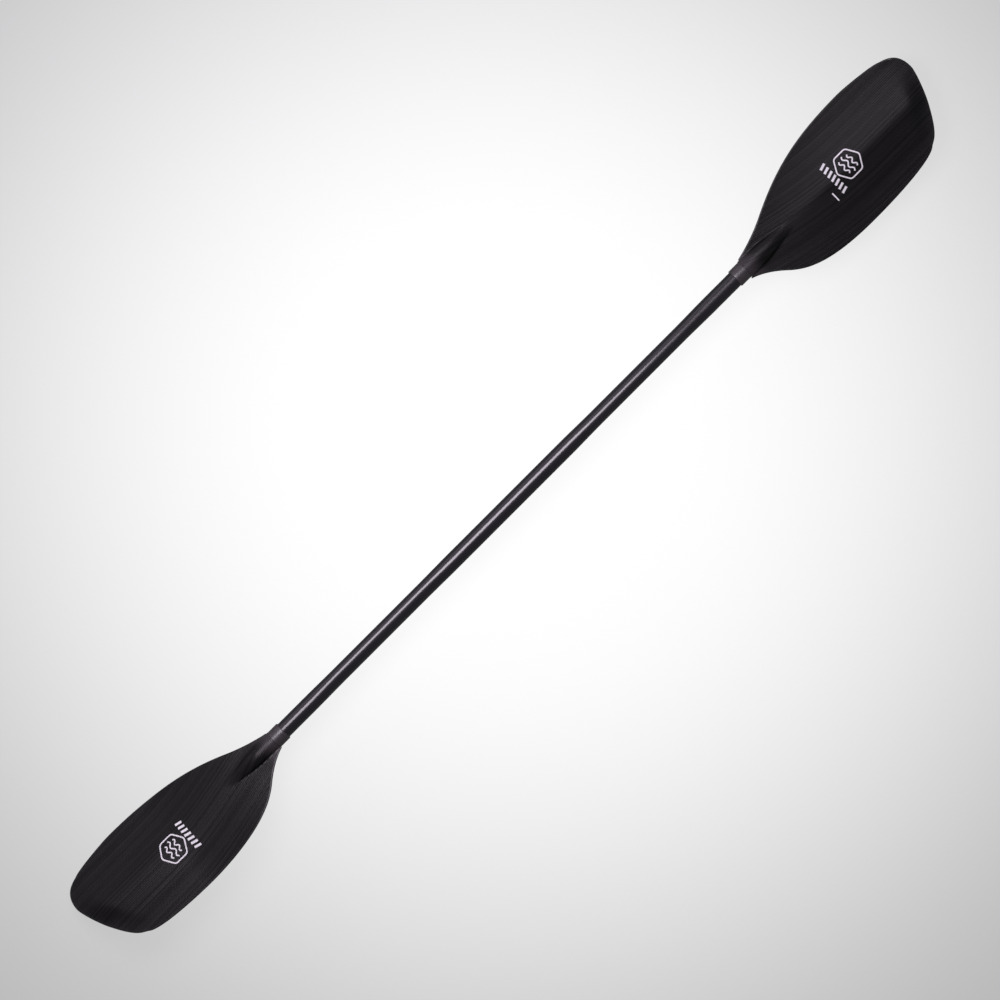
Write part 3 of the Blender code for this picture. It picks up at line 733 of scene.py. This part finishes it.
def bead_geometry(finish):
    """A half round swept round the outline on the flat, then lifted to the edge line."""
    names = ["Radius", "Drop", "Drop start", "Drop end", "Thin", "Thin start", "Thin end"]
    tree, size = geometry_tree("edge bead", names)
    entry = next(node for node in tree.nodes if node.bl_idname == "NodeGroupInput")
    path = add_node(tree, "GeometryNodeMeshToCurve", {"Mesh": entry.outputs["Geometry"]})
    upright = add_node(tree, "GeometryNodeSetCurveNormal",
                       {"Curve": path.outputs[0]}, mode="Z_UP")
    arc = add_node(tree, "GeometryNodeCurveArc", {
        "Resolution": BEAD_SIDES, "Radius": size["Radius"],
        "Start Angle": -math.pi / 2, "Sweep Angle": math.pi})
    closed = add_node(tree, "GeometryNodeSetSplineCyclic",
                      {"Geometry": arc.outputs[0], "Cyclic": True})
    swept = add_node(tree, "GeometryNodeCurveToMesh", {
        "Curve": upright.outputs[0], "Profile Curve": closed.outputs[0], "Fill Caps": True})
    place = add_node(tree, "GeometryNodeInputPosition").outputs[0]
    parts = add_node(tree, "ShaderNodeSeparateXYZ", {0: place}).outputs
    along = maths(tree, "ABSOLUTE", parts["X"])
    fall = smooth_step(tree, along, size["Drop start"], size["Drop end"], 0.0, size["Drop"])
    thick = smooth_step(tree, along, size["Thin start"], size["Thin end"], size["Thin"], 1.0)
    lifted = maths(tree, "SUBTRACT", maths(tree, "MULTIPLY", parts["Z"], thick), fall)
    moved = add_node(tree, "ShaderNodeCombineXYZ",
                     {"X": parts["X"], "Y": parts["Y"], "Z": lifted})
    shaped = add_node(tree, "GeometryNodeSetPosition",
                      {"Geometry": swept.outputs[0], "Position": moved.outputs[0]})
    finish_tree(tree, shaped.outputs[0], finish)
    return tree


bead_tree = bead_geometry(scuffed_resin())
bead_line = rim + rim_inward * EDGE / 2
seated = np.abs(rim[:, 1]) > NECK_RADIUS + LEAST_FLANGE + EDGE / 2
bead_line = bead_line[np.argmax(seated):len(rim) - np.argmax(seated[::-1])]
for name, side in sides.items():
    mesh = bpy.data.meshes.new(name + "_edge_bead")
    points = [(side * x, y, 0) for x, y in bead_line[::side]]
    mesh.from_pydata(points, [(i, i + 1) for i in range(len(points) - 1)], [])
    bead = add_piece(name + "_edge_bead", mesh)
    grow(bead, bead_tree, {
        "Radius": EDGE / 2, "Drop": EDGE_DROP[0], "Drop start": EDGE_DROP[1],
        "Drop end": EDGE_DROP[2], "Thin": CLOSED_HALF / (EDGE / 2),
        "Thin start": SKIN_START, "Thin end": RIDGE[1]})
    settle(bead)
    bead.data.transform(placing[name])
    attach(bead, "root")
    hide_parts(name + "_edge_cord")


# Printed marks ----------------------------------------------------------------------------
# A plain sign is screen printed in white on each power face: a rounded hexagon with three
# waves in it, and a row of slanted bars below. The ink is a thin film on the cloth.

MARK_X = 0.268  # from the neck to the sign's centre
MARK_Y = {"right": 0.002, "left": -0.008}
MARK_SIZE = 0.0245  # from the sign's centre to its corners
MARK_ROUNDING = 0.007
WAVES = ((-0.009, 0.0125), (0.0, 0.0160), (0.009, 0.0125))  # place and half length
WAVE_HEIGHT = 0.0026
WAVE_POINTS = 33
INK_WIDTH = 0.0024
INK_FILM = 0.00005
INK_LIFT = 0.00006
INK_STEP = 0.0012
INK_TONES = ((0.74, 0.72, 0.76), (0.95, 0.93, 0.97))
ROW_DISTANCE = 0.034  # from the sign's centre to the row of bars
BAR_COUNT = 7
BAR_PITCH = 0.0088
BAR_WIDTH = 0.0042
BAR_REACH = (0.0060, 0.0018)  # from a bar's middle to its end, along and across the blade
DASH = ((-0.053, -0.0330), (-0.053, -0.0160))  # the right blade alone has this one


def white_ink():
    """Slightly uneven satin ink."""
    made, tree, shader = shader_tree("white screen ink", IOR=1.45, Specular_IOR_Level=0.4)
    place = add_node(tree, "ShaderNodeTexCoord").outputs["Object"]
    cloud = noise(tree, place, 500.0, 4.0)
    colour = blend_colours(tree, cloud, *INK_TONES)
    rough = maths(tree, "MULTIPLY_ADD", cloud, 0.2, 0.45)
    join_finish(tree, shader, colour, rough, cloud, 0.00001)
    return made


def stepped(points, closed):
    """A line of corner points filled in with evenly spaced points."""
    points = np.array(points + points[:1] if closed else points)
    runs = np.linalg.norm(np.diff(points, axis=0), axis=1)
    travel = np.concatenate(([0], np.cumsum(runs)))
    count = max(int(travel[-1] / INK_STEP), 2)
    stops = np.linspace(0, travel[-1], count + 1)
    line = np.stack([np.interp(stops, travel, points[:, k]) for k in (0, 1)], -1)
    return line[:-1] if closed else line


def ink_stroke(line, width, closed, vertices, faces):
    """A film of ink along a line, resting on the power face."""
    if closed:
        run = np.roll(line, -1, 0) - np.roll(line, 1, 0)
    else:
        run = np.gradient(line, axis=0)
    run /= np.linalg.norm(run, axis=1)[:, None]
    aside = np.stack((-run[:, 1], run[:, 0]), -1) * width / 2
    ring = [(line + aside, INK_LIFT + INK_FILM), (line - aside, INK_LIFT + INK_FILM),
            (line - aside, INK_LIFT), (line + aside, INK_LIFT)]
    start = len(vertices)
    rows = [np.column_stack((p, power_face(p[:, 0], p[:, 1]) + rise)) for p, rise in ring]
    vertices.extend(np.stack(rows, 1).reshape(-1, 3).tolist())
    count = len(line)
    for i in range(count if closed else count - 1):
        a, b = start + 4 * i, start + 4 * ((i + 1) % count)
        for j in range(4):
            k = (j + 1) % 4
            faces.append((a + j, a + k, b + k, b + j))
    if not closed:
        end = start + 4 * (count - 1)
        faces.append((start + 3, start + 2, start + 1, start))
        faces.append((end, end + 1, end + 2, end + 3))


def rounded_hexagon(size, corner):
    """Corner points of a hexagon whose corners are rounded, point towards the tip."""
    points = []
    inner = size - corner
    for k in range(6):
        turn = k * math.pi / 3
        for bend in np.linspace(-math.pi / 6, math.pi / 6, 7):
            points.append((inner * math.cos(turn) + corner * math.cos(turn + bend),
                           inner * math.sin(turn) + corner * math.sin(turn + bend)))
    return points


def wave(x, half):
    """A line with two full waves in it, drawn across the blade."""
    places = np.linspace(-half, half, WAVE_POINTS)
    return [(x + WAVE_HEIGHT * math.sin(2 * math.pi * y / half), y) for y in places]


ink = white_ink()
for name, side in sides.items():
    centre = np.array((MARK_X, MARK_Y[name]))
    vertices, faces = [], []
    border = stepped(rounded_hexagon(MARK_SIZE, MARK_ROUNDING), True)
    ink_stroke(centre + border, INK_WIDTH, True, vertices, faces)
    strokes = [(wave(x, half), INK_WIDTH) for x, half in WAVES]
    for k in range(BAR_COUNT):
        middle = np.array((-ROW_DISTANCE, (k - (BAR_COUNT - 1) / 2) * BAR_PITCH))
        strokes.append(([middle - BAR_REACH, middle + BAR_REACH], BAR_WIDTH))
    if name == "right":
        strokes.append((DASH, INK_WIDTH))
    for line, width in strokes:
        ink_stroke(centre + stepped(line, False), width, False, vertices, faces)
    mesh = bpy.data.meshes.new(name + "_printed_mark")
    turned_faces = faces if side > 0 else [face[::-1] for face in faces]
    mesh.from_pydata([(side * x, y, z) for x, y, z in vertices], [], turned_faces)
    mesh.transform(placing[name])
    mark = add_piece(name + "_printed_mark", mesh)
    mesh.materials.append(ink)
    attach(mark, "root")


# Floor, light and camera ------------------------------------------------------------------
# The paddle lies on a floor that glows by its own emission, brightest near its middle and
# fading to grey away from it: a painted pool of light, so it takes no shadow. A long soft
# box on the far side lights it, with a low dim one beside it and a short one by one blade.

FLOOR_HALF = 8
# Painted light: the floor's own emission stands in for lamplight, brightest round this middle.
PAINTED_LIGHT_MIDDLE = (0.08, 0.06, 0)
PAINTED_LIGHT_FADE = (0.25, 1.45)  # distances from that middle
PAINTED_LIGHT_LEVELS = (0.93, 0.42)
LAMP_COLOUR = (0.97, 0.88, 1.0)
LAMP_DISTANCE = 2.0  # from the shaft
ROOM_LIGHT = 0.12
ROOM_SEEN = 0.62  # the same room as a camera sees it past the floor
LENS = 130
SENSOR = 36
FRAME_WIDTH = 1.6557  # width in view at the shaft
CAMERA_TILT = math.radians(6)
AIM = (-0.0054, 0.0165)  # view's middle, along and across the shaft

scene = bpy.context.scene
scene.view_settings.view_transform = "Standard"

floor_mesh = bpy.data.meshes.new("floor")
corners = [(x * FLOOR_HALF, y * FLOOR_HALF, 0) for x, y in ((-1, -1), (1, -1), (1, 1), (-1, 1))]
floor_mesh.from_pydata(corners, [], [(0, 1, 2, 3)])
floor = add_piece("floor", floor_mesh)
# The floor glows: its emission paints a pool of light that fades to grey away from the middle.
made, tree, shader = shader_tree("glowing floor painted light", Roughness=0.9, Specular_IOR_Level=0.0)
place = add_node(tree, "ShaderNodeTexCoord").outputs["Object"]
away = add_node(tree, "ShaderNodeVectorMath", {0: place, 1: PAINTED_LIGHT_MIDDLE}, operation="DISTANCE")
painted_light_pool = smooth_step(tree, away.outputs["Value"], *PAINTED_LIGHT_FADE, *PAINTED_LIGHT_LEVELS)
shader.inputs["Base Color"].default_value = (0.10, 0.10, 0.10, 1)
shader.inputs["Emission Color"].default_value = (1, 1, 1, 1)
tree.links.new(painted_light_pool, shader.inputs["Emission Strength"])
floor_mesh.materials.append(made)
floor.visible_glossy = False


def soft_box(name, middle, turn, length, width, radiance):
    """A rectangular lamp at a turn about the shaft's line, with a given brightness."""
    lamp = bpy.data.lights.new(name, "AREA")
    lamp.shape = "RECTANGLE"
    lamp.size, lamp.size_y = length, width
    lamp.color = LAMP_COLOUR
    lamp.energy = radiance * math.pi * length * width
    box = bpy.data.objects.new(name, lamp)
    box.location = (middle, LAMP_DISTANCE * math.sin(turn),
                    axis + LAMP_DISTANCE * math.cos(turn))
    box.rotation_euler = (-turn, 0, 0)
    scene.collection.objects.link(box)


soft_box("long soft box", -0.15, math.radians(27), 1.16, 0.98, 9.0)
soft_box("low soft box", 0.0, math.radians(72), 4.0, 1.2, 0.50)
soft_box("short soft box", 1.35, math.radians(20), 1.2, 1.1, 2.0)

world = bpy.data.worlds.new("studio")
world.use_nodes = True
scene.world = world
tree = world.node_tree
rays = add_node(tree, "ShaderNodeLightPath").outputs["Is Camera Ray"]
dim = tree.nodes["Background"]
dim.inputs["Color"].default_value = (1, 1, 1, 1)
level = smooth_step(tree, rays, 0.0, 1.0, ROOM_LIGHT, ROOM_SEEN)
tree.links.new(level, dim.inputs["Strength"])

out = np.array((0, math.sin(CAMERA_TILT), math.cos(CAMERA_TILT)))  # towards the camera
across = np.array((0, math.cos(CAMERA_TILT), -math.sin(CAMERA_TILT)))
along = np.array((1.0, 0, 0))
right = (along - across) / math.sqrt(2)
up = (along + across) / math.sqrt(2)
aim = np.array((AIM[0], 0, axis)) + AIM[1] * across
eye = aim + out * FRAME_WIDTH * LENS / SENSOR
camera_data = bpy.data.cameras.new("camera")
camera_data.lens = LENS
camera_data.sensor_width = SENSOR
camera = bpy.data.objects.new("camera", camera_data)
camera.matrix_world = Matrix(np.column_stack((right, up, out)).tolist()).to_4x4()
camera.location = eye
scene.collection.objects.link(camera)
scene.camera = camera
